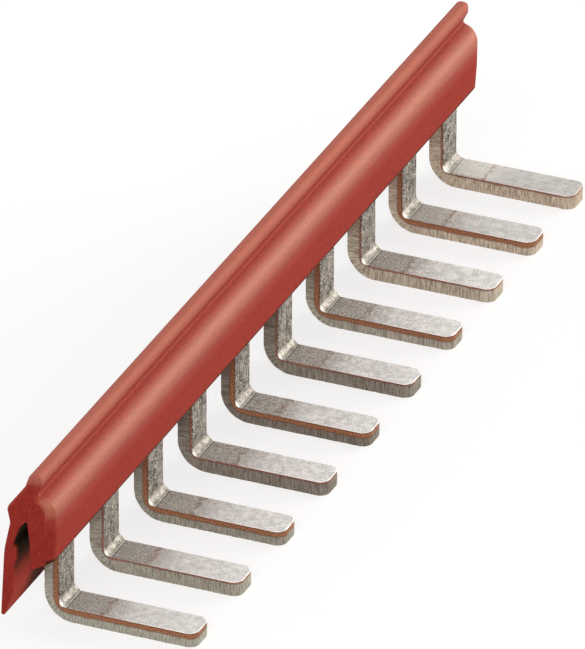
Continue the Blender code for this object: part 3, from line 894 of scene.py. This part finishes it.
def cut_edge(tree, along, across, depth, number, shift):
    """Punched edges: a copper band next to the inner face, with a dark line above and under it,
    deep on every other prong and narrow on the ones between, then grey with streaks through
    the thickness. The middle prongs' edges are duller and browner, the far ones' lighter."""
    even = maths(tree, "MODULO", plus(tree, number, 0.1), 2.0)
    narrow = ramp(tree, even, 0.5, 0.9)
    run = plus(tree, along, times(tree, across, 0.9))
    drawn_out = join(tree, run, shift, times(tree, depth, 0.12))
    streak = noise(tree, drawn_out, CUT_STREAKS, 2.0, 0.6)
    patch = noise(tree, drawn_out, CUT_PATCHES)
    grain = noise(tree, join(tree, run, shift, depth), CUT_GRAINS, 2.0, 0.7)
    band = mix(tree, narrow, *BAND_DEPTH)
    band = plus(tree, band, times(tree, minus(tree, patch, 0.5), 0.2))
    band = plus(tree, band, times(tree, minus(tree, streak, 0.5), 0.1))
    below = minus(tree, depth, band)
    copper = ramp(tree, below, *BAND_FADE)
    rough = ramp(tree, grain, 0.3, 0.7)
    red = blend(tree, narrow, blend(tree, rough, *WIDE_COPPER), blend(tree, rough, *THIN_COPPER))
    worked = plus(tree, times(tree, streak, 0.65), times(tree, grain, 0.35))
    worked = ramp(tree, worked, 0.33, 0.67)
    plain = blend(tree, worked, *PLAIN_CUT)
    stain = times(tree, ramp(tree, patch, 0.35, 0.7), 0.5, narrow)
    grey = blend(tree, stain, plain, blend(tree, worked, *BROWN_CUT))
    dull = times(tree, ridge(tree, number, *DULL_PRONGS), 0.8)
    grey = blend(tree, dull, grey, blend(tree, worked, *DULL_CUT))
    clear = times(tree, ramp(tree, number, *CLEAR_PRONGS), 0.8)
    grey = blend(tree, clear, grey, blend(tree, worked, *CLEAR_CUT))
    tone = blend(tree, copper, grey, red)
    underline = ridge(tree, below, *UNDERLINE)
    tone = blend(tree, times(tree, underline, 0.45), tone, COPPER_UNDERLINE)
    rim = ridge(tree, depth, DIE_ROLL + 0.01, RIM_REACH)
    tone = blend(tree, times(tree, rim, 0.75), tone, COPPER_RIM)
    height = plus(tree, times(tree, streak, 0.5), times(tree, copper, -0.25))
    return tone, height


def seen_directly(tree):
    """1 for what the camera sees, straight or in a reflection, and 0 for light that falls on
    things."""
    path = add(tree, "ShaderNodeLightPath").outputs
    mirrored = larger(tree, path["Is Glossy Ray"], path["Is Transmission Ray"])
    return larger(tree, path["Is Camera Ray"], mirrored)


def white_floor_finish():
    """Matt white board. Seen directly or in a reflection it glows a little, so that it reads as
    the white of the picture, and it still takes the object's shadow."""
    material, tree, output = new_material("matt_white_board")
    board = add(tree, "ShaderNodeBsdfDiffuse", {"Color": linear(BOARD)})
    lift = times(tree, seen_directly(tree), FLOOR_GLOW)
    glow = add(tree, "ShaderNodeEmission", {"Color": linear(WHITE), "Strength": lift})
    both = add(tree, "ShaderNodeAddShader", {0: board.outputs[0], 1: glow.outputs[0]})
    tree.links.new(both.outputs[0], output.inputs[0])
    return material


# Stage

def floor(material):
    """A flat board, far wider than the picture, at the height of the prongs' underside."""
    mesh = bpy.data.meshes.new("floor")
    corners = [(x * FLOOR_HALF, y * FLOOR_HALF, 0.0) for x, y in ((-1, -1), (1, -1), (1, 1), (-1, 1))]
    mesh.from_pydata(corners, [], [(0, 1, 2, 3)])
    mesh.materials.append(material)
    board = bpy.data.objects.new("floor", mesh)
    bpy.context.scene.collection.objects.link(board)


def soft_lamp(name, place, size, power, colour):
    """A square lamp that faces the object."""
    light = bpy.data.lights.new(name, "AREA")
    light.size = size
    light.energy = power
    light.color = colour
    lamp = bpy.data.objects.new(name, light)
    lamp.location = place
    lamp.rotation_euler = (-Vector(place)).to_track_quat("-Z", "Y").to_euler()
    bpy.context.scene.collection.objects.link(lamp)


def white_room():
    """Even white all round: full white where it is seen, softer as light on things."""
    world = bpy.data.worlds.new("white_room")
    world.use_nodes = True
    tree = world.node_tree
    extra = times(tree, seen_directly(tree), 1.0 - ROOM_LIGHT)
    tree.links.new(plus(tree, extra, ROOM_LIGHT), tree.nodes["Background"].inputs[1])
    tree.nodes["Background"].inputs[0].default_value = linear(WHITE)
    bpy.context.scene.world = world


def studio():
    """A low warm lamp behind on the prongs' side, which draws the streak along the shoulder. A
    weaker one more straight behind, for the bead. A wide weak one high behind, which keeps the
    flat metal from going grey. A fill in front, over the near end."""
    white_room()
    soft_lamp("low_side_lamp", (0.42, 0.50, 0.05), 0.4, 4.2, (1.0, 0.96, 0.84))
    soft_lamp("back_lamp", (0.20, 0.58, 0.14), 0.4, 1.2, (1.0, 0.96, 0.86))
    soft_lamp("high_back_lamp", (-0.15, 0.52, 0.32), 0.7, 0.25, (1.0, 1.0, 1.0))
    soft_lamp("front_lamp", (0.12, -0.52, 0.36), 0.4, 1.6, (1.0, 1.0, 1.0))
    bpy.context.scene.view_settings.view_transform = "Standard"


def camera():
    """The lens, place and axes that were fitted to the photograph."""
    lens = bpy.data.cameras.new("camera")
    lens.lens = LENS
    eye = bpy.data.objects.new("camera", lens)
    turn = np.eye(4)
    turn[:3, 0] = CAMERA_RIGHT
    turn[:3, 1] = -np.array(CAMERA_DOWN)
    turn[:3, 2] = -np.array(CAMERA_FORWARD)
    turn[:3, 3] = CAMERA_PLACE
    eye.matrix_world = Matrix(turn.tolist())
    bpy.context.scene.collection.objects.link(eye)
    bpy.context.scene.camera = eye


def main():
    camera()
    studio()
    floor(white_floor_finish())
    metal = comb(tinned_copper())
    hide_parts("busbar_comb")
    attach(metal, "root")
    clip = clip_profile(red_moulded_plastic())
    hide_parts("insulating_profile")
    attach(clip, "root")


main()
